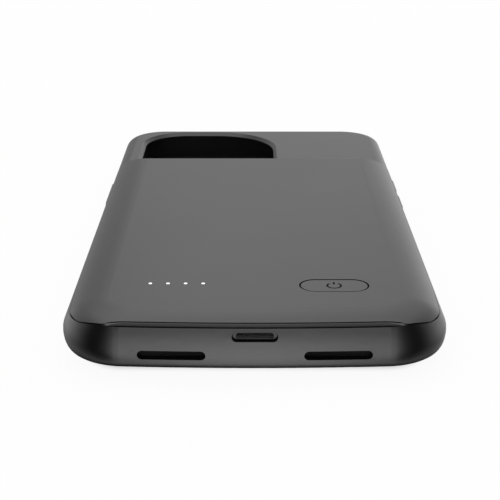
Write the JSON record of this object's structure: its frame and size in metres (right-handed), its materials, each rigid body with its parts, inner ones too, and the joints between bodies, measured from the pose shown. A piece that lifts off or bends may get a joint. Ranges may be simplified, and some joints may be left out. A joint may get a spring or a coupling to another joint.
{
  "type": "battery charging case",
  "caption": "Slim phone case with a battery in its back: soft bumper frame, domed back cover, charge socket and sound slots in the chin, charge lights, power button and camera opening.",
  "frame": {"origin": "under the middle of the case, on the plane of the front lip that it rests on", "axes": "+X to the right seen from the charging end, +Y from the charging end to the camera end, +Z from the screen side up to the back"},
  "size_m": [0.0776, 0.158, 0.0126],
  "materials": {
    "soft_frame": "satin moulded soft plastic, near black",
    "cover_plastic": "fine satin moulded hard plastic, near black",
    "tray_plastic": "moulded hard plastic",
    "circuit_board": "solder mask over glass fibre board",
    "chip_package": "moulded epoxy package",
    "ferrite": "pressed ferrite block",
    "ceramic_capacitor": "fired ceramic body",
    "socket_steel": "plated stamped steel",
    "contact_block": "moulded insulator with plated contacts",
    "sound_mesh": "fine woven sound mesh",
    "plug_plastic": "overmoulded plug base",
    "plug_steel": "plated plug blade",
    "flex_film": "polyimide film",
    "pouch_foil": "embossed aluminium pouch foil",
    "tape": "double-sided adhesive film",
    "nickel_tab": "nickel strip",
    "lead_red": "soft lead insulation",
    "lead_black": "soft lead insulation",
    "switch_body": "stamped steel can",
    "switch_plunger": "moulded plunger",
    "light_chip": "white light chip",
    "light_guide": "clear to white light guide"
  },
  "bodies": {
    "case": {"bumper_frame": "soft_frame", "back_cover": "cover_plastic", "inner_tray": "tray_plastic", "main_board": "circuit_board", "port_board": "circuit_board", "guard_board": "circuit_board", "charge_controller": "chip_package", "boost_converter": "chip_package", "boost_inductor": "ferrite", "capacitors": "ceramic_capacitor", "charge_socket": "socket_steel", "socket_contacts": "contact_block", "vent_mesh_left": "sound_mesh", "vent_mesh_right": "sound_mesh", "phone_plug_base": "plug_plastic", "phone_plug": "plug_steel", "flex_link": "flex_film", "battery_cell": "pouch_foil", "battery_tape": "tape", "cell_tabs": "nickel_tab", "battery_lead_positive": "lead_red", "battery_lead_negative": "lead_black", "power_switch": "switch_body", "charge_lights": "light_chip", "light_guide": "light_guide"},
    "power_button": {"power_button": "cover_plastic", "switch_plunger": "switch_plunger"},
    "side_button": {"side_button": "soft_frame"},
    "volume_up_button": {"volume_up_button": "soft_frame"},
    "volume_down_button": {"volume_down_button": "soft_frame"}
  },
  "joints": [
    {"name": "power_press", "type": "slide", "parent": "case", "child": "power_button", "axis": [0, 0, -1], "range_m": [0, 0.00025], "stiffness_N_per_m": 2000},
    {"name": "side_press", "type": "slide", "parent": "case", "child": "side_button", "axis": [1, 0, 0], "range_m": [0, 0.0004], "stiffness_N_per_m": 1500},
    {"name": "volume_up_press", "type": "slide", "parent": "case", "child": "volume_up_button", "axis": [-1, 0, 0], "range_m": [0, 0.0004], "stiffness_N_per_m": 1500},
    {"name": "volume_down_press", "type": "slide", "parent": "case", "child": "volume_down_button", "axis": [-1, 0, 0], "range_m": [0, 0.0004], "stiffness_N_per_m": 1500}
  ]
}
